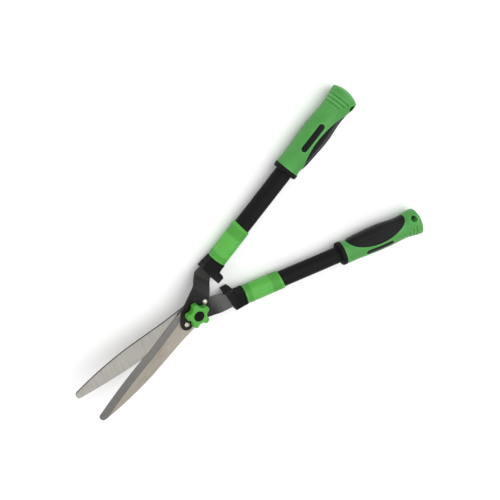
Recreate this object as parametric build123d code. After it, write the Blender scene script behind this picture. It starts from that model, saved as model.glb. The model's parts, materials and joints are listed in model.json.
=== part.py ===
"""Hedge shears, lying open with the knob up.

Each half is built on its own: the pivot axis is Z through the origin, the blades meet in the plane z = 0,
the blade points to -X, the handle to +X, and +Y is the side away from the other half. The handle has a frame
of its own, in which the tube's axis is X. The rear half is the mirror image of the front one, with its blade
and its tang below the plane z = 0 in place of above. Both halves are then turned to the rest opening and laid
down.
"""
import math
import os

from build123d import *

# ---- driving dimensions, in millimetres and degrees ----
half_opening = 17.25          # each handle from the middle line, at rest
closed_half_opening = 6.9     # each handle from the middle line when the bumpers meet
handle_offset = 15.24         # the handle's axis passes the pivot at this distance
handle_drop = 15.16           # and this far below the blades' plane
handle_rise = 9.15            # and climbs by this angle towards the grip
lying_angle = 8.1             # the blades' plane leans by this much when the shears lie down

blade_thickness = 3.0
blade_gap = 0.1               # from the meeting plane to each blade
edge_thickness = 0.4
root_bevel_width = 9.5
main_bevel_width = 10.8
kink_x = -86.0                # where the root of the cutting edge steps out to the main stretch

tang_thickness = 3.0
tang_tail_width = 13.0
tang_toe_radius = 8.8
tang_end = 106.0
tang_lean = 1.9               # the front strip lies this much further out, and the rear one further in
bend_start = 30.5
bend_end = 47.0
bend_radius = 10.0

rivet_pitch = 40.0
rivet_line_turn = -5.5        # the rivets' line against the handle's direction
rivet_radius = 2.4
rivet_head_radius = 3.6
rivet_head_height = 1.6

block_half_height = 11.0
block_inner_y = -11.2         # in the handle's frame, as are the next two
block_front_outer_y = 14.5
block_rear_outer_y = 9.2
block_plan_end = 100.0         # the plan runs on to here under the sleeve, where the body is cut off
block_edge_chamfer = 3.2
bumper_front_x = 51.0
bumper_rear_x = 61.3
bumper_edge_radius = 1.2
bumper_gap = 0.15             # from each bumper's face to the middle line when closed

tube_radius = 12.15
tube_wall = 1.3
tube_start = 80.0
tube_end = 346.0
spigot_end = 111.0
pin_at = 95.0
pin_radius = 1.9

sleeve_start = 79.8
sleeve_end = 139.6
sleeve_radius = 14.0
sleeve_slant = 8.0            # the rear end leans by this angle, shorter on the inner side
rear_ribs = 6
rear_rib_inset = 7.5          # from the sleeve's end to the first rib
front_ribs = 3
front_rib_inset = 3.5
rib_pitch = 2.2
rib_width = 1.0
rib_depth = 0.6

liner_start = 232.0
liner_radius = 13.8
cuff_end = 239.0
cuff_radius = 17.9
bore_end = 347.4
grip_end = 368.6
grip_end_radius = 40.0        # of the dome that ends the grip
grip_end_offset = 1.0         # the dome's top lies this much towards the outer side
grip_rim_radius = 3.0
grip_flatness = 0.99          # the grip's height over its width
grip_lift = 0.8               # the ovals' middles lie this far above the tube's axis
pad_depth = 3.0
inlay_depth = 2.2
inlay_length = 44.8
inlay_width = 8.4
inlay_middle = 291.6
inlay_roll = 22.0             # from the top towards the outer side
groove_width = 1.6
groove_depth = 1.1
hang_hole_radius = 4.7
hang_hole_at = (353.7, -13.6)

bolt_radius = 4.0
bolt_hole_radius = 4.06
bolt_head_radius = 8.5
bolt_head_height = 3.6
neck_side = 8.0
washer_radius = 9.4
washer_thickness = 1.4
spring_washer_radius = 7.4
spring_washer_thickness = 1.4
spring_washer_slit = 1.4
washer_hole_radius = 4.4
axial_play = 0.05

knob_radius = 17.8
knob_valley_radius = 12.4
knob_seat_height = 9.0        # from the knob's seat on the washers to its top
knob_recess_radius = 10.0     # the recess that covers the washers
knob_skirt_gap = 0.9          # from the skirt to the tang
knob_lobes = 5
insert_flats = 13.0
insert_height = 5.4
cap_radius = 7.7
cap_thickness = 2.0
cap_recess = 0.8

# ---- worked out from them ----
blade_top = blade_gap + blade_thickness
tang_top = blade_top + tang_thickness
rivet_dx = 0.5 * rivet_pitch * math.cos(math.radians(rivet_line_turn))
rivet_dy = 0.5 * rivet_pitch * math.sin(math.radians(rivet_line_turn))
rivet_places = [(-rivet_dx, -rivet_dy), (rivet_dx, rivet_dy)]
washer_bottom = tang_top + axial_play
spring_bottom = washer_bottom + washer_thickness
knob_seat = spring_bottom + spring_washer_thickness + axial_play
knob_bottom = tang_top + knob_skirt_gap
knob_top = knob_seat + knob_seat_height
bolt_end = knob_seat + insert_height + 0.3
spigot_radius = tube_radius - tube_wall
rise_slope = math.tan(math.radians(handle_rise))
handle_frame = Location((0, handle_offset, -handle_drop), (0, -handle_rise, 0))


# ---- small helpers ----
def z_cylinder(radius, bottom, top, at=(0, 0)):
    """An upright cylinder between two heights."""
    return Pos(at[0], at[1], (bottom + top) / 2) * Cylinder(radius, top - bottom)


def x_cylinder(radius, start, end):
    """A cylinder round the X axis between two places."""
    return Pos((start + end) / 2, 0, 0) * Rot(0, 90, 0) * Cylinder(radius, end - start)


def span_box(low, high):
    """A box between two corners."""
    size = [b - a for a, b in zip(low, high)]
    middle = [(a + b) / 2 for a, b in zip(low, high)]
    return Pos(*middle) * Box(*size)


def upright(outline, bottom, top):
    """A plan outline, as a face in XY, made into a plate between two heights."""
    return Pos(0, 0, bottom) * extrude(outline, top - bottom)


def layer(shape, side):
    """The front half's layer as it is, or turned over for the rear half."""
    return shape if side == "front" else mirror(shape, about=Plane.XY)


def dome(radius, height, base):
    """A round head that stands on the height base: a cap of a sphere."""
    sphere_radius = (radius * radius + height * height) / (2 * height)
    ball = Pos(0, 0, base + height - sphere_radius) * Sphere(sphere_radius)
    return ball & z_cylinder(radius + 1, base, base + height + 1)


# ---- blade ----
root_edge = ((-8, 20.4), (-44, 23.2), (-82, 26.2))
main_edge = ((-88.5, 28.4), (-135, 33.7), (-186, 36.6))


def blade_outline():
    """Plan of the blade: the cutting edge on the +Y side, the spine on the other."""
    spine_end = (-105, 2.3)
    heel = [(-9, -15), (8, -14), (20, -7.5), (24.5, -3.5), (24.5, 1.5), (14, 15)]
    root = Polyline(spine_end, (-45, -7.2), *heel, root_edge[0])
    face = make_face([
        ThreePointArc(*root_edge),
        Line(root_edge[2], main_edge[0]),
        ThreePointArc(*main_edge),
        ThreePointArc(main_edge[2], (-192.6, 32.8), (-189.6, 27.0)),
        ThreePointArc((-189.6, 27.0), (-150, 13.4), spine_end),
        *root.edges(),
    ])
    heel_corners = [v for v in face.vertices() if v.X > -12 and v.Y < 18]
    return fillet(heel_corners, 4.0)


def circle_through(a, b, c):
    """Centre and radius of the circle through three points."""
    ax, ay, bx, by, cx, cy = *a, *b, *c
    double_area = 2 * (ax * (by - cy) + bx * (cy - ay) + cx * (ay - by))
    a2, b2, c2 = ax * ax + ay * ay, bx * bx + by * by, cx * cx + cy * cy
    x = (a2 * (by - cy) + b2 * (cy - ay) + c2 * (ay - by)) / double_area
    y = (a2 * (cx - bx) + b2 * (ax - cx) + c2 * (bx - ax)) / double_area
    return (x, y), math.hypot(ax - x, ay - y)


def bevel_tool(edge, width, outward, start_x, end_x):
    """What is ground off along one arc of the cutting edge: a conical wedge that leaves a thin edge.

    outward is 1 where the arc bulges away from its centre's side of the blade, and -1 where it is hollow.
    """
    centre, radius = circle_through(*edge)
    edge_z = blade_gap + edge_thickness
    slope = (blade_top - edge_z) / width
    reach = 3.0
    outer = radius + outward * reach
    inner = radius - outward * (width + reach)
    low_z = edge_z - slope * reach
    high_z = blade_top + slope * reach
    section = Plane.XZ * make_face(Polyline(
        (outer, low_z), (outer, high_z + 5), (inner, high_z + 5), (inner, high_z), close=True))
    ring = Pos(centre[0], centre[1], 0) * revolve(section, Axis.Z, 360)
    return ring & span_box((start_x, -60, -1), (end_x, 90, 20))


def blade(side):
    """One blade, with its bevel on the outer face, the pivot hole and two rivet holes."""
    plate = upright(blade_outline(), blade_gap, blade_top)
    plate -= bevel_tool(root_edge, root_bevel_width, -1, kink_x, -16.0)
    plate -= bevel_tool(main_edge, main_bevel_width, 1, -220, kink_x)
    plate -= z_cylinder(bolt_hole_radius, -1, 20)
    for place in rivet_places:
        plate -= z_cylinder(rivet_radius, -1, 20, place)
    return layer(plate, side)


# ---- tang ----
def tang_outline(side):
    """Plan of the tang: a rounded toe on the blade, a wide strip, a narrow tail inside the stop block."""
    lean = tang_lean if side == "front" else -tang_lean
    tail_low = handle_offset - tang_tail_width / 2
    tail_high = handle_offset + tang_tail_width / 2
    toe_outer = [(-24, 10.0), (-19, 14.2), (-9, 20.2), (0, 21.6)]
    strip_outer = [(14, 22.0), (28, 24.0), (38.4, 26.9), (47, 28.2), (55, 27.6), (62, 25.4)]
    strip_inner = [(60, 8.0), (50, 2.4), (40, -2.0), (30, -5.0), (24, -7.5), (19.5, -14.4), (8, -14.8)]
    leaning_outer = [(x, y + lean) for x, y in strip_outer]
    leaning_inner = [(x, y + lean) for x, y in strip_inner]
    tail = [(66, tail_high), (tang_end, tail_high), (tang_end, tail_low), (66, tail_low)]
    strip = make_face(Polyline(*toe_outer, *leaning_outer, *tail, *leaning_inner, (-20, -6.8), close=True))
    outline = strip + Pos(*rivet_places[0]) * Circle(tang_toe_radius)
    face = outline.faces()[0]
    corners = [v for v in face.vertices() if -12 < v.X < 50]
    return fillet(corners, 4.0)


def strip_profile(side):
    """Side view of the tang's strip: flat on the blade, bent down, then climbing along the handle."""
    level = blade_top + tang_thickness / 2
    if side == "rear":
        level = -level
    far_x = tang_end + 5
    path = [(-60, level), (bend_start, level)]
    path += [(x, rise_slope * x - handle_drop) for x in (bend_end, far_x)]
    half = tang_thickness / 2
    upper, lower = [], []
    for before, here, after in zip([None] + path, path, path[1:] + [None]):
        pairs = [(p, q) for p, q in ((before, here), (here, after)) if p and q]
        turns = [math.atan2(q[1] - p[1], q[0] - p[0]) for p, q in pairs]
        middle = sum(turns) / len(turns)
        miter = half / math.cos((turns[-1] - turns[0]) / 2)
        upper.append((here[0] - miter * math.sin(middle), here[1] + miter * math.cos(middle)))
        lower.append((here[0] + miter * math.sin(middle), here[1] - miter * math.cos(middle)))
    face = make_face(Polyline(*(upper + lower[::-1]), close=True))
    bends = [v for v in face.vertices() if -50 < v.X < tang_end]
    return fillet(bends, bend_radius)


def tang(side):
    """The painted strip from the blade to the stop block."""
    plate = upright(tang_outline(side), -40, 40)
    strip = plate & extrude(Plane.XZ * strip_profile(side), 100, both=True)
    if side == "front":
        strip -= z_cylinder(bolt_hole_radius, -20, 20)
    else:
        strip -= Box(neck_side + 0.1, neck_side + 0.1, 60)
    for place in rivet_places:
        strip -= z_cylinder(rivet_radius, -20, 20, place)
    strip -= handle_frame * z_cylinder(pin_radius, -30, 30, (pin_at, 0))
    return strip


def blade_rivets(side):
    """Two rivets through the blade and the tang, with the domed heads on the tang."""
    rivets = []
    for x, y in rivet_places:
        shank = z_cylinder(rivet_radius, blade_gap, tang_top)
        rivets.append(Pos(x, y, 0) * (shank + dome(rivet_head_radius, rivet_head_height, tang_top)))
    return layer(Compound(children=rivets), side)


# ---- stop block ----
def bumper_face_y(x):
    """Where the bumper's face lies: on the middle line of the closed shears, less a hair."""
    return bumper_gap - math.tan(math.radians(closed_half_opening)) * x


def stop_block(side):
    """Black moulding round the tang: the body with the bumper arm, and the spigot in the tube's end."""
    low_y = handle_offset + block_inner_y
    front_y = handle_offset + block_front_outer_y
    rear_y = handle_offset + block_rear_outer_y
    plan = make_face(Polyline(
        (bumper_front_x, bumper_face_y(bumper_front_x)), (bumper_rear_x, bumper_face_y(bumper_rear_x)),
        (64.2, -3.2), (65.6, 3.6), (71.0, low_y), (block_plan_end, low_y), (block_plan_end, rear_y),
        (58.6, front_y), close=True))
    plan = fillet([v for v in plan.vertices() if 63 < v.X < 73], 2.0)
    slab = span_box((0, -60, -block_half_height), (sleeve_start, 60, block_half_height))
    body = upright(plan, -60, 60) & handle_frame * slab
    outer_edges = [e for e in body.edges() if e.center().Y > rear_y and abs(e.tangent_at(0.5).Z) < 0.5]
    body = chamfer(outer_edges, block_edge_chamfer)
    arm_edges = [e for e in body.edges() if e.center().Y < low_y - 4 and e.length > 5]
    body = fillet(arm_edges, bumper_edge_radius)
    spigot = handle_frame * x_cylinder(spigot_radius, 70, spigot_end)
    block = body + spigot
    block -= tang(side)
    block -= handle_frame * z_cylinder(pin_radius, -30, 30, (pin_at, 0))
    return block


# ---- handle, in the handle's frame ----
def handle_tube():
    """Round steel tube from the joint sleeve into the grip."""
    tube = x_cylinder(tube_radius, tube_start, tube_end) - x_cylinder(spigot_radius, 0, 400)
    return tube - z_cylinder(pin_radius, -30, 30, (pin_at, 0))


def handle_pin():
    """Headless cross pin through the tube, the spigot and the tang's tail."""
    pin = z_cylinder(pin_radius, -tube_radius - 1, tube_radius + 1, (pin_at, 0))
    return pin & x_cylinder(tube_radius, 80, 120)


def joint_sleeve():
    """Green sleeve over the joint, with fine ribs near both ends and a slanted rear end."""
    sleeve = x_cylinder(sleeve_radius, sleeve_start, sleeve_end + 10)
    slant_middle = sleeve_end - sleeve_radius * math.tan(math.radians(sleeve_slant))
    sleeve -= Pos(slant_middle, 0, 0) * Rot(0, 0, -sleeve_slant) * Pos(30, 0, 0) * Box(60, 80, 80)
    sleeve = fillet([e for e in sleeve.edges() if e.length > 60], 1.0)
    rib_places = [sleeve_end - rear_rib_inset - i * rib_pitch for i in range(rear_ribs)]
    rib_places += [sleeve_start + front_rib_inset + i * rib_pitch for i in range(front_ribs)]
    for place in rib_places:
        groove = x_cylinder(sleeve_radius + 2, place, place + rib_width)
        sleeve -= groove - x_cylinder(sleeve_radius - rib_depth, place - 1, place + 2)
    return sleeve - x_cylinder(tube_radius, 0, 400)


def grip_sections(inset):
    """The grip's oval sections along the handle: place, half width, and offset towards the outer side."""
    stations = [
        (cuff_end, 17.0, 0.0), (254, 17.3, -0.2), (271, 18.4, -0.7), (290, 19.3, -1.0), (309, 19.2, -1.0),
        (323, 18.1, -0.6), (336, 17.6, -0.9), (345, 18.5, -1.4), (353, 19.9, -1.6), (372, 20.5, -1.3)]
    faces = []
    for place, half_width, offset in stations:
        oval = Ellipse(half_width - inset, grip_flatness * half_width - inset)
        faces.append(Plane.YZ.offset(place) * Pos(offset, grip_lift) * oval)
    return faces


def grip_form(inset=0.0):
    """The grip's outer form: a loft of ovals that ends in a low dome."""
    form = loft(grip_sections(inset))
    envelope = x_cylinder(grip_end_radius, 200, grip_end - grip_end_radius)
    envelope += Pos(grip_end - grip_end_radius, 0, 0) * Sphere(grip_end_radius)
    form &= Pos(0, grip_end_offset, 0) * envelope
    rim = [e for e in form.edges() if e.center().X > 350 and e.length > 20]
    return fillet(rim, grip_rim_radius) if inset == 0 else form


def grip_pad(form, inner_form):
    """Soft pad on the inner side, pointed at the front and round at the rear."""
    border = Spline(
        (243, -22), (251, -12.6), (267, -4.3), (289, 0), (311, -1.5), (324, -5), (334, -9.5), (341, -15.5),
        (344, -22))
    far_side = Polyline((344, -22), (344, -40), (243, -40), (243, -22))
    region = make_face([border, *far_side.edges()])
    return (form - inner_form) & upright(region, -40, 40)


def inlay_prisms():
    """The space of the two inlay strips, one above and one below."""
    stadium = SlotOverall(inlay_length, inlay_width)
    upper = Rot(-inlay_roll, 0, 0) * Pos(inlay_middle, 0, 8) * extrude(stadium, 30)
    return upper, mirror(upper, about=Plane.XY)


def grip_inlays(form, inner_form):
    """Two black strips let into the grip, above and below."""
    shell = form - inner_form
    strips = [(shell & prism).solids()[0] for prism in inlay_prisms()]
    return Compound(children=strips)


def grip_grooves(form, floor_form):
    """Three grooves round the outer side of the pommel, the longest nearest the end."""
    skin = form - floor_form
    cuts = []
    for place, start_y in ((342.8, 2.9), (348.1, -0.4), (353.3, -3.9)):
        slab = span_box((place - groove_width / 2, start_y, -40), (place + groove_width / 2, 40, 40))
        cuts.append(skin & slab)
    return cuts


def grip_liner():
    """Black sleeve on the tube, with the cuff that shows in front of the grip."""
    cuff = x_cylinder(cuff_radius, liner_start, cuff_end)
    cuff = fillet(cuff.edges().sort_by(Axis.X)[0], 3.0)
    liner = cuff + x_cylinder(liner_radius, cuff_end - 1, bore_end)
    return liner - x_cylinder(tube_radius, 0, tube_end)


def grip_shell(form, pad, inlays, grooves):
    """Green grip with the pommel, the hang hole and the seats of the pad and the inlays."""
    shell = form - x_cylinder(liner_radius, 0, bore_end)
    shell -= pad
    for strip in inlays.solids():
        shell -= strip
    for groove in grooves:
        shell -= groove
    return shell - z_cylinder(hang_hole_radius, -40, 40, hang_hole_at)


# ---- pivot ----
def pivot_bolt():
    """Bolt with a domed head and a square neck in the rear tang; its thread is plain."""
    shank = z_cylinder(bolt_radius, -tang_top, bolt_end)
    neck = span_box((-neck_side / 2, -neck_side / 2, -tang_top), (neck_side / 2, neck_side / 2, -blade_top))
    head = mirror(dome(bolt_head_radius, bolt_head_height, tang_top), about=Plane.XY)
    return chamfer(shank.edges().group_by(Axis.Z)[-1], 0.8) + neck + head


def washer():
    """Plain washer on the front tang."""
    return z_cylinder(washer_radius, washer_bottom, spring_bottom) - z_cylinder(washer_hole_radius, 0, 40)


def spring_washer():
    """Split spring washer under the knob."""
    ring = z_cylinder(spring_washer_radius, spring_bottom, spring_bottom + spring_washer_thickness)
    ring -= z_cylinder(washer_hole_radius, 0, 40)
    return ring - span_box((0, -spring_washer_slit / 2, 0), (20, spring_washer_slit / 2, 40))


def knob_outline():
    """Blunt lobes with hollows between them; the first lobe points along the middle line."""
    points = []
    for i in range(knob_lobes):
        for radius, turn in ((knob_valley_radius, -26), (knob_radius, -10.5), (knob_radius, 10.5),
                             (knob_valley_radius, 26)):
            angle = math.radians(i * 360 / knob_lobes + turn)
            points.append((radius * math.cos(angle), radius * math.sin(angle)))
    face = make_face(Polyline(*points, close=True))
    tips = [v for v in face.vertices() if math.hypot(v.X, v.Y) > knob_radius - 0.1]
    face = fillet(tips, 3.0)
    valleys = [v for v in face.vertices() if abs(math.hypot(v.X, v.Y) - knob_valley_radius) < 0.1]
    return fillet(valleys, 2.4)


def insert_hexagon(bottom, top):
    """The prism of the knob's hex insert."""
    return upright(RegularPolygon(insert_flats / 2, 6, major_radius=False), bottom, top)


def star_knob():
    """Green knob: a recess over the washers and a hex pocket below, a round seat for the cap above."""
    star = upright(knob_outline(), knob_bottom, knob_top)
    rims = star.edges().group_by(Axis.Z)
    star = fillet(rims[-1] + rims[0], 1.2)
    star -= z_cylinder(knob_recess_radius, knob_bottom - 1, knob_seat)
    star -= insert_hexagon(knob_seat - 1, knob_seat + insert_height)
    star -= z_cylinder(bolt_radius + 0.6, 0, knob_top)
    return star - z_cylinder(cap_radius, knob_top - cap_recess - cap_thickness, knob_top + 1)


def knob_insert():
    """Hex nut held in the knob."""
    return insert_hexagon(knob_seat, knob_seat + insert_height) - z_cylinder(bolt_hole_radius, 0, 40)


def knob_cap():
    """Black disc that closes the knob."""
    bottom = knob_top - cap_recess - cap_thickness
    disc = z_cylinder(cap_radius, bottom, bottom + cap_thickness)
    return fillet(disc.edges().group_by(Axis.Z)[-1], 0.6)


# ---- assembly ----
def place_half(shape, side):
    """A shape of one half, turned to its place in the open shears."""
    if side == "rear":
        return Rot(0, 0, -half_opening) * mirror(shape, about=Plane.XZ)
    return Rot(0, 0, half_opening) * shape


def half_nodes(side):
    """Every piece of one half, by name."""
    form = grip_form()
    pad = grip_pad(form, grip_form(pad_depth))
    inlays = grip_inlays(form, grip_form(inlay_depth))
    grooves = grip_grooves(form, grip_form(groove_depth))
    on_handle = {
        "handle_tube": handle_tube(),
        "handle_pin": handle_pin(),
        "joint_sleeve": joint_sleeve(),
        "grip_liner": grip_liner(),
        "grip_shell": grip_shell(form, pad, inlays, grooves),
        "grip_pad": pad,
        "grip_inlays": inlays,
    }
    pieces = {name: handle_frame * shape for name, shape in on_handle.items()}
    pieces["blade"] = blade(side)
    pieces["tang"] = tang(side)
    pieces["blade_rivets"] = blade_rivets(side)
    pieces["stop_block"] = stop_block(side)
    return {f"{side}_{name}": place_half(shape, side) for name, shape in pieces.items()}


def assembly():
    """All the nodes, laid down, with the origin under the middle of the whole."""
    nodes = half_nodes("front") | half_nodes("rear")
    nodes |= {
        "pivot_bolt": place_half(pivot_bolt(), "rear"),
        "plain_washer": washer(),
        "spring_washer": spring_washer(),
        "knob_insert": knob_insert(),
        "star_knob": star_knob(),
        "knob_cap": knob_cap(),
    }
    laid = {name: Rot(0, lying_angle, 0) * shape for name, shape in nodes.items()}
    boxes = [shape.bounding_box() for shape in laid.values()]
    low = [min(getattr(box.min, axis) for box in boxes) for axis in "XYZ"]
    high = [max(getattr(box.max, axis) for box in boxes) for axis in "XYZ"]
    shift = Pos(-(low[0] + high[0]) / 2, -(low[1] + high[1]) / 2, -low[2])
    return {name: shift * shape for name, shape in laid.items()}, shift


def main():
    os.makedirs("parts", exist_ok=True)
    nodes, shift = assembly()
    for name, shape in nodes.items():
        export_step(shape, f"parts/{name}.step")
    print("pivot at", shift.position)


if __name__ == "__main__":
    main()
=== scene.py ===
"""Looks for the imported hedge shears: camera, light, floor, materials, soft pads and pips on the sleeves."""
import json
import math

import bmesh
import bpy
from mathutils import Matrix, Vector


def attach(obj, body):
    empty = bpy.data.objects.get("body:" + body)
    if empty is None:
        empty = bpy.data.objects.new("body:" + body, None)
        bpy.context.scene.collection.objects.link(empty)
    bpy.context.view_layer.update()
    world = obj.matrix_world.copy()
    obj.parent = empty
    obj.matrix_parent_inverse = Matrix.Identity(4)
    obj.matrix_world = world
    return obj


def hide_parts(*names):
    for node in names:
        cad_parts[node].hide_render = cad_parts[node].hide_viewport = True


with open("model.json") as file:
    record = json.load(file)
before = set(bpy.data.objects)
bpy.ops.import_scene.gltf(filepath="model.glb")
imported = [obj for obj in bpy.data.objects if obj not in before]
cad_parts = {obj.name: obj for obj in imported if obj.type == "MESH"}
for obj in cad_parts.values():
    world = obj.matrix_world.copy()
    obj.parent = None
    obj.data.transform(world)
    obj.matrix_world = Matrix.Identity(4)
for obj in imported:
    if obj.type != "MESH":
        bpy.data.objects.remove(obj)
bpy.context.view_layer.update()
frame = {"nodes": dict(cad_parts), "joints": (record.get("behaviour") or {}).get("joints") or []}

nodes = frame["nodes"]
pivot = next(j for j in frame["joints"] if j["name"] == "blade_pivot")
pivot_point = Vector(pivot["pos_m"])
blade_normal = Vector(pivot["axis"]).normalized()

# ---- camera: where it stands is given by its direction, roll and distance from a point on the object ----
camera_azimuth = math.radians(93.565)     # of the way towards the camera, from +X
camera_elevation = math.radians(58.506)
camera_roll = math.radians(138.860)
camera_distance = 1.04883
camera_aim = pivot_point + Vector((0.11454, 0.01844, -0.00800))
camera_lens = 53.892                      # mm
camera_sensor = 36.0                      # mm

# ---- light and floor ----
world_strength = 0.95
light_target = Vector((0.0, 0.0, 0.03))
lights = (                                # name, place, diameter in m, power in W
    ("key", Vector((1.1, 0.25, 1.7)), 2.6, 22),
    ("side", Vector((-1.6, 0.9, 0.9)), 1.2, 5),
)
floor_half = 40.0
floor_grey = 0.9
floor_roughness = 0.9
floor_specular = 0.1

# ---- the handle's frame, as in the CAD: the X axis is the tube's, +Y the outer side ----
half_opening = math.radians(17.25)
handle_rise = math.radians(9.15)
handle_offset = 0.01524
handle_drop = 0.01516


def make_camera():
    """The camera at the viewing angle of the reference."""
    back = Vector((math.cos(camera_azimuth) * math.cos(camera_elevation),
                   math.sin(camera_azimuth) * math.cos(camera_elevation),
                   math.sin(camera_elevation)))
    level_right = (-back).cross(Vector((0, 0, 1))).normalized()
    level_up = level_right.cross(-back)
    up = level_up * math.cos(camera_roll) - level_right * math.sin(camera_roll)
    right = up.cross(back)
    data = bpy.data.cameras.new("camera")
    data.lens = camera_lens
    data.sensor_width = camera_sensor
    camera = bpy.data.objects.new("camera", data)
    axes = Matrix((right, up, back)).transposed()
    camera.matrix_world = Matrix.Translation(camera_aim + back * camera_distance) @ axes.to_4x4()
    bpy.context.scene.collection.objects.link(camera)
    bpy.context.scene.camera = camera


def make_world():
    """Even white surroundings."""
    world = bpy.data.worlds.new("studio")
    bpy.context.scene.world = world
    world.use_nodes = True
    background = world.node_tree.nodes["Background"]
    background.inputs["Color"].default_value = (1, 1, 1, 1)
    background.inputs["Strength"].default_value = world_strength
    bpy.context.scene.view_settings.view_transform = "Standard"


def make_lights():
    """A very broad overhead key light and a weak one beside the blades' tips."""
    for name, place, size, power in lights:
        data = bpy.data.lights.new(name, "AREA")
        data.shape = "DISK"
        data.size = size
        data.energy = power
        light = bpy.data.objects.new(name, data)
        light.location = place
        light.rotation_euler = (light_target - place).to_track_quat("-Z", "Y").to_euler()
        bpy.context.scene.collection.objects.link(light)


def make_floor():
    """A plain pale floor under the object."""
    mesh = bpy.data.meshes.new("floor")
    corners = [(x * floor_half, y * floor_half, 0) for x, y in ((-1, -1), (1, -1), (1, 1), (-1, 1))]
    mesh.from_pydata(corners, [], [(0, 1, 2, 3)])
    floor = bpy.data.objects.new("floor", mesh)
    bpy.context.scene.collection.objects.link(floor)
    material, g = new_material("floor_white")
    g.look(Base_Color=grey(floor_grey), Roughness=floor_roughness, Specular_IOR_Level=floor_specular)
    mesh.materials.append(material)


# ---- material helpers ----
middle_step = [(0.35, 0.0), (0.65, 1.0)]      # ramp stops that spread a noise's middle range over 0 to 1
zone_length = 0.05                            # m beyond the pivot; the tangs' painted-sheen zone and the heel zone are shares of it


def grey(level):
    """A neutral colour."""
    return level, level, level


def scaled(colour, factor):
    """The colour, brighter or darker."""
    return tuple(factor * channel for channel in colour)


class Graph:
    """Short ways to add shader nodes to one material."""

    def __init__(self, tree):
        self.tree = tree
        self.shader = tree.nodes["Principled BSDF"]
        self.coordinates = self.node("ShaderNodeTexCoord")
        self.place = self.coordinates.outputs["Object"]

    def node(self, kind, **values):
        """A new node with its properties set."""
        made = self.tree.nodes.new(kind)
        for key, value in values.items():
            setattr(made, key, value)
        return made

    def link(self, output, socket):
        """A link between two sockets."""
        self.tree.links.new(output, socket)

    def feed(self, value, socket):
        """Links an output to a socket, or sets the socket to a number or a colour."""
        if isinstance(value, bpy.types.NodeSocket):
            self.link(value, socket)
        elif isinstance(value, tuple) and socket.type == "RGBA":
            socket.default_value = (*value, 1)
        else:
            socket.default_value = value

    def look(self, **inputs):
        """Feeds the Principled shader's inputs; a _ in a name stands for a space."""
        for name, value in inputs.items():
            self.feed(value, self.shader.inputs[name.replace("_", " ")])

    def noise(self, scale, detail=4.0, roughness=0.55, vector=None):
        """Noise over the object's coordinates, or over another vector."""
        made = self.node("ShaderNodeTexNoise")
        made.inputs["Scale"].default_value = scale
        made.inputs["Detail"].default_value = detail
        made.inputs["Roughness"].default_value = roughness
        self.link(vector or self.place, made.inputs["Vector"])
        return made.outputs["Fac"]

    def ramp(self, factor, stops):
        """A ramp of greys; each stop is a position and a level."""
        made = self.node("ShaderNodeValToRGB")
        elements = made.color_ramp.elements
        for element, (position, level) in zip(elements, stops):
            element.position = position
            element.color = (*grey(level), 1)
        self.link(factor, made.inputs["Fac"])
        return made.outputs["Color"]

    def mix(self, factor, a, b):
        """A where the factor is 0, b where it is 1."""
        made = self.node("ShaderNodeMix", data_type="RGBA")
        for name, value in (("Factor", factor), ("A", a), ("B", b)):
            self.feed(value, made.inputs[name])
        return made.outputs["Result"]

    def maths(self, operation, a, b=0.0):
        """A sum, product and so on of two values."""
        made = self.node("ShaderNodeMath", operation=operation)
        self.feed(a, made.inputs[0])
        self.feed(b, made.inputs[1])
        return made.outputs["Value"]

    def bump(self, height, distance, strength):
        """A normal that follows the height, distance in m."""
        made = self.node("ShaderNodeBump")
        made.inputs["Strength"].default_value = strength
        made.inputs["Distance"].default_value = distance
        self.link(height, made.inputs["Height"])
        return made.outputs["Normal"]

    def edges(self, low=0.51, high=0.60):
        """Bright on outer edges, for wear."""
        geometry = self.node("ShaderNodeNewGeometry")
        return self.ramp(geometry.outputs["Pointiness"], [(low, 0.0), (high, 1.0)])

    def mapped(self, vector, **values):
        """The vector, turned or scaled."""
        made = self.node("ShaderNodeMapping")
        self.link(vector, made.inputs["Vector"])
        for name, value in values.items():
            made.inputs[name].default_value = value
        return made.outputs["Vector"]

    def beyond_pivot(self):
        """How far a place is from the pivot towards the handles: 0 at the pivot, 1 at the zone length."""
        split = self.node("ShaderNodeSeparateXYZ")
        self.link(self.place, split.inputs["Vector"])
        beyond = self.maths("SUBTRACT", split.outputs["X"], pivot_point.x)
        return self.maths("MULTIPLY", beyond, 1 / zone_length)


def new_material(name):
    """A material and the graph that shades it."""
    material = bpy.data.materials.new(name)
    material.use_nodes = True
    return material, Graph(material.node_tree)


# ---- materials ----
edge_gain = 1.25            # a green part's rubbed edges: its colour times this,
edge_lift = 0.02            # plus this
smear_gloss = 0.05          # how far smears on the green parts go below the plain roughness,
smear_dull = 0.08           # and above it
sheen_raggedness = 0.12      # how uneven the start of a tang's painted sheen is
sheen_blue = 0.95          # the blue in the grey of a tang's painted sheen, against its red and green
stipple_scale = 700


def green_plastic(name, base, dark, roughness):
    """Moulded plastic: slow mottling, fine grain, and slightly paler rubbed edges."""
    material, g = new_material(name)
    colour = g.mix(g.ramp(g.noise(scale=35, detail=3.0), middle_step), dark, base)
    edge_colour = tuple(min(1.0, channel * edge_gain + edge_lift) for channel in base)
    smears = [(0.3, roughness - smear_gloss), (0.7, roughness + smear_dull)]
    g.look(Base_Color=g.mix(g.edges(), colour, edge_colour),
           Roughness=g.ramp(g.noise(scale=60), smears),
           Normal=g.bump(g.noise(scale=2600, detail=2.0), distance=0.00005, strength=0.35),
           Specular_IOR_Level=0.45)
    return material


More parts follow.
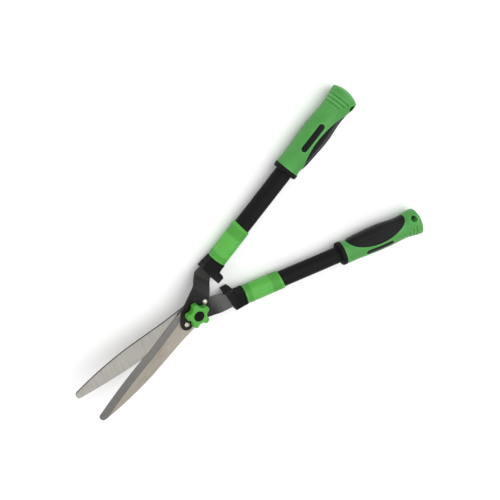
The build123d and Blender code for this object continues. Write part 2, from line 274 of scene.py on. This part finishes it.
def black_paint(name, specular, painted_sheen=0.0):
    """Satin powder coat: orange peel, a few paler scuffs, and on a tang a painted sheen: a zone painted grey
    where the tang slopes down, standing in for the light that slope reflects.
    """
    material, g = new_material(name)
    scuff = g.ramp(g.noise(scale=90, detail=6.0, roughness=0.7), [(0.62, 0.0), (0.78, 1.0)])
    colour = g.mix(scuff, grey(0.004), (0.010, 0.010, 0.0095))
    colour = g.mix(g.edges(0.56, 0.72), colour, (0.014, 0.014, 0.0135))
    # painted sheen: grey from a ragged start beyond the pivot, standing in for light reflected off the tang's
    # downward slope
    if painted_sheen:
        ragged = g.maths("MULTIPLY", g.noise(scale=70), sheen_raggedness)
        zone = g.ramp(g.maths("ADD", g.beyond_pivot(), ragged), [(0.48, 0.0), (1.05, 1.0)])
        colour = g.mix(zone, colour, (painted_sheen, painted_sheen, sheen_blue * painted_sheen))
    g.look(Base_Color=colour,
           Roughness=g.ramp(g.noise(scale=40, detail=3.0), [(0.3, 0.34), (0.7, 0.46)]),
           Normal=g.bump(g.noise(scale=900, detail=2.0), distance=0.00012, strength=0.25),
           Specular_IOR_Level=specular)
    return material


def black_plastic():
    """Black moulded nylon with a fine eroded grain."""
    material, g = new_material("nylon_black")
    colour = g.mix(g.noise(scale=50, detail=3.0), grey(0.003), grey(0.006))
    g.look(Base_Color=g.mix(g.edges(0.53, 0.66), colour, grey(0.028)),
           Roughness=g.ramp(g.noise(scale=120, detail=3.0), [(0.3, 0.52), (0.7, 0.62)]),
           Normal=g.bump(g.noise(scale=1800, detail=3.0), distance=0.0001, strength=0.4),
           Specular_IOR_Level=0.10)
    return material


def soft_rubber():
    """Soft black grip rubber with a stippled surface."""
    material, g = new_material("rubber_black")
    dots = g.node("ShaderNodeTexVoronoi")
    dots.inputs["Scale"].default_value = stipple_scale
    g.link(g.place, dots.inputs["Vector"])
    g.look(Base_Color=g.mix(g.noise(scale=60), (0.003, 0.003, 0.0035), (0.006, 0.006, 0.007)),
           Roughness=g.ramp(g.noise(scale=30, detail=3.0), [(0.3, 0.30), (0.7, 0.38)]),
           Normal=g.bump(dots.outputs["Distance"], distance=0.0002, strength=0.3),
           Specular_IOR_Level=0.13)
    return material


flat_steel = {                   # each blade's flat: clean, and stained
    "front": ((0.40, 0.365, 0.31), (0.29, 0.235, 0.185)),
    "rear": ((0.42, 0.405, 0.37), (0.35, 0.33, 0.295)),
}
cross_scale = (420, 25, 25)      # with X along the blade: fine along it, so the marks run across
long_scale = (16, 900, 60)       # fine across the blade, so the marks run along it
mark_darkness = 0.82
bevel_dark = (0.150, 0.144, 0.134)
bevel_pale = (0.178, 0.172, 0.161)
side_face_steel = (0.045, 0.044, 0.042)
heel_lacquer = grey(0.012)


def blade_steel(side):
    """Ground steel: marks on the flat, a darker ground bevel, brown stains, and black lacquer at the heel."""
    material, g = new_material(f"{side}_blade_steel")
    in_line = g.mapped(g.place, Rotation=(0, 0, half_opening if side == "rear" else -half_opening))
    cross_marks = g.noise(scale=1.0, detail=5.0, roughness=0.65, vector=g.mapped(in_line, Scale=cross_scale))
    long_marks = g.noise(scale=1.0, detail=5.0, roughness=0.6, vector=g.mapped(in_line, Scale=long_scale))
    brushed = long_marks if side == "front" else cross_marks

    pale, brown = flat_steel[side]
    steel = g.mix(g.ramp(brushed, middle_step), scaled(pale, mark_darkness), pale)
    stain = g.ramp(g.noise(scale=38, detail=5.0, roughness=0.65), [(0.52, 0.0), (0.75, 0.8)])
    steel = g.mix(stain, steel, brown)
    bevel = g.mix(g.ramp(cross_marks, middle_step), bevel_dark, bevel_pale)

    share = g.node("ShaderNodeVectorMath", operation="DOT_PRODUCT")
    g.link(g.coordinates.outputs["Normal"], share.inputs[0])
    share.inputs[1].default_value = blade_normal
    facing = g.maths("ABSOLUTE", share.outputs["Value"])      # 1 on the flat, 0 on the blade's narrow sides
    metal = g.mix(g.ramp(facing, [(0.975, 0.0), (0.99, 1.0)]), bevel, steel)
    metal = g.mix(g.ramp(facing, [(0.3, 1.0), (0.6, 0.0)]), metal, side_face_steel)

    heel = g.ramp(g.beyond_pivot(), [(0.10, 0.0), (0.14, 1.0)])
    g.look(Base_Color=g.mix(heel, metal, heel_lacquer),
           Metallic=g.ramp(heel, [(0.0, 0.75), (1.0, 0.0)]),
           Roughness=g.ramp(brushed, [(0.3, 0.40), (0.7, 0.54)]),
           Anisotropic=0.4,
           Normal=g.bump(brushed, distance=0.00004, strength=0.5))
    return material


def plated_steel():
    """Dull zinc plate for rivets, bolt and washers."""
    material, g = new_material("zinc_plate")
    colour = g.mix(g.noise(scale=300), (0.50, 0.46, 0.39), (0.66, 0.62, 0.54))
    g.look(Base_Color=g.mix(g.edges(), colour, (0.75, 0.72, 0.66)),
           Metallic=0.8,
           Roughness=g.ramp(g.noise(scale=500, detail=3.0), [(0.3, 0.32), (0.7, 0.48)]),
           Normal=g.bump(g.noise(scale=1500, detail=2.0), distance=0.00005, strength=0.3))
    return material


def insert_brass():
    """Turned brass."""
    material, g = new_material("brass")
    g.look(Base_Color=g.mix(g.noise(scale=400, detail=3.0), (0.55, 0.40, 0.16), (0.70, 0.54, 0.26)),
           Metallic=1.0,
           Roughness=g.ramp(g.noise(scale=700, detail=3.0), [(0.3, 0.28), (0.7, 0.42)]))
    return material


def dress(node, material):
    """Gives a CAD node a better material."""
    mesh = nodes[node].data
    if not mesh.materials:
        mesh.materials.append(material)
    for index in range(len(mesh.materials)):
        mesh.materials[index] = material


def dress_all():
    """A material for every CAD node, and the pads and pips on each half."""
    paint = black_paint("powder_coat_black", specular=0.05)
    # the grey zone on each tang is a painted sheen for the light off its slope, stronger on the rear tang
    tang_paint = {
        "front": black_paint("front_tang_black", specular=0.2, painted_sheen=0.035),
        "rear": black_paint("rear_tang_black", specular=0.3, painted_sheen=0.14),
    }
    nylon = black_plastic()
    rubber = soft_rubber()
    plate = plated_steel()
    sleeve_green = green_plastic("sleeve_green", (0.056, 0.305, 0.026), (0.047, 0.270, 0.021), roughness=0.42)
    grip_green = green_plastic("grip_green", (0.050, 0.262, 0.042), (0.041, 0.232, 0.035), roughness=0.45)
    pip_green = green_plastic("pip_green", (0.028, 0.235, 0.040), (0.024, 0.205, 0.034), roughness=0.40)
    for side in ("front", "rear"):
        dress(f"{side}_blade", blade_steel(side))
        for part, material in (("tang", tang_paint[side]), ("handle_tube", paint), ("stop_block", nylon),
                               ("grip_liner", nylon), ("grip_inlays", rubber),
                               ("blade_rivets", plate), ("handle_pin", plate),
                               ("joint_sleeve", sleeve_green), ("grip_shell", grip_green)):
            dress(f"{side}_{part}", material)
        soft_pad(side, rubber)
        sleeve_pips(side, pip_green)
    for node in ("pivot_bolt", "plain_washer", "spring_washer"):
        dress(node, plate)
    dress("knob_insert", insert_brass())
    dress("star_knob", sleeve_green)
    dress("knob_cap", nylon)


# ---- soft pads ----
pad_voxel = 0.00055
weld_distance = 1e-6
smooth_rounds = 5
smooth_share = 0.5
ridge_angle = math.radians(143)      # round the handle, from the outer side over the top
ridge_spread = math.radians(6)
ridge_height = 0.0011
facet_depth = 0.0008
seam_depth = 0.0003


def handle_matrix(side):
    """From the handle's frame to the world, at rest."""
    lean = Vector((0, 0, 1)).rotation_difference(blade_normal).to_matrix().to_4x4()
    mirrored = Matrix.Scale(-1, 4, (0, 1, 0)) if side == "rear" else Matrix.Identity(4)
    placed = Matrix.Translation((0, handle_offset, -handle_drop)) @ Matrix.Rotation(-handle_rise, 4, "Y")
    return Matrix.Translation(pivot_point) @ lean @ mirrored @ Matrix.Rotation(half_opening, 4, "Z") @ placed


def pad_relief(angle):
    """How far the pad's face stands out or in, round the handle: two long ridges, shallow facets between."""
    height = 0.0
    for ridge in (ridge_angle, 2 * math.pi - ridge_angle):
        height += ridge_height * math.exp(-((angle - ridge) / ridge_spread) ** 2)
    facet = math.sin(2 * angle) ** 2
    return height - facet_depth * facet


def soft_pad(side, material):
    """The rubber pad, remeshed from its CAD solid, rounded at its border and given its ridges."""
    source = nodes[f"{side}_grip_pad"]
    mesh = source.data.copy()
    pad = bpy.data.objects.new(f"{side}_soft_pad", mesh)
    bpy.context.scene.collection.objects.link(pad)
    weld = bmesh.new()
    weld.from_mesh(mesh)
    bmesh.ops.remove_doubles(weld, verts=weld.verts, dist=weld_distance)
    weld.to_mesh(mesh)
    weld.free()
    remesh = pad.modifiers.new("remesh", "REMESH")
    remesh.mode = "VOXEL"
    remesh.voxel_size = pad_voxel
    remesh.use_smooth_shade = True
    smooth = pad.modifiers.new("smooth", "SMOOTH")
    smooth.iterations = smooth_rounds
    smooth.factor = smooth_share
    evaluated = pad.evaluated_get(bpy.context.evaluated_depsgraph_get())
    shaped = bpy.data.meshes.new_from_object(evaluated)
    pad.modifiers.clear()
    pad.data = shaped
    to_world = handle_matrix(side)
    to_handle = to_world.inverted()
    for vertex, normal in zip(shaped.vertices, [n.vector.copy() for n in shaped.vertex_normals]):
        local = to_handle @ vertex.co
        radial = Vector((0, local.y, local.z))
        outwards = radial.normalized()
        facing = (to_handle.to_3x3() @ normal).dot(outwards)
        if facing > 0:
            angle = math.atan2(local.z, local.y) % (2 * math.pi)
            local += outwards * facing * (pad_relief(angle) - seam_depth * (1 - facing))
            vertex.co = to_world @ local
    shaped.materials.clear()
    shaped.materials.append(material)
    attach(pad, f"{side}_half")
    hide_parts(f"{side}_grip_pad")


# ---- pips on the sleeves ----
sleeve_radius = 0.014
pip_rings = ((0.100, math.radians(99)), (0.117, math.radians(96)))    # place along the handle, angle round it
pip_ring_radius = 0.0034
pip_radius = 0.0009
pip_height = 0.00022
pips_per_ring = 5
pip_segments = 14
pip_rows = 8


def sleeve_pips(side, material):
    """Two rings of low moulded pips on each joint sleeve."""
    shape = bmesh.new()
    for along, angle in pip_rings:
        for index in range(pips_per_ring):
            turn = 2 * math.pi * index / pips_per_ring
            place = along + pip_ring_radius * math.cos(turn)
            around = angle + pip_ring_radius * math.sin(turn) / sleeve_radius
            dome = bmesh.ops.create_uvsphere(shape, u_segments=pip_segments, v_segments=pip_rows, radius=1.0)
            stand = (Matrix.Translation((place, 0, 0)) @ Matrix.Rotation(around - math.pi / 2, 4, "X")
                     @ Matrix.Translation((0, 0, sleeve_radius)))
            flat = Matrix.Diagonal((pip_radius, pip_radius, pip_height, 1))
            bmesh.ops.transform(shape, matrix=stand @ flat, verts=dome["verts"])
    bmesh.ops.transform(shape, matrix=handle_matrix(side), verts=shape.verts)
    if side == "rear":
        bmesh.ops.reverse_faces(shape, faces=shape.faces)
    for face in shape.faces:
        face.smooth = True
    mesh = bpy.data.meshes.new(f"{side}_sleeve_pips")
    shape.to_mesh(mesh)
    shape.free()
    mesh.materials.append(material)
    pips = bpy.data.objects.new(f"{side}_sleeve_pips", mesh)
    bpy.context.scene.collection.objects.link(pips)
    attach(pips, f"{side}_half")


make_camera()
make_world()
make_lights()
make_floor()
dress_all()
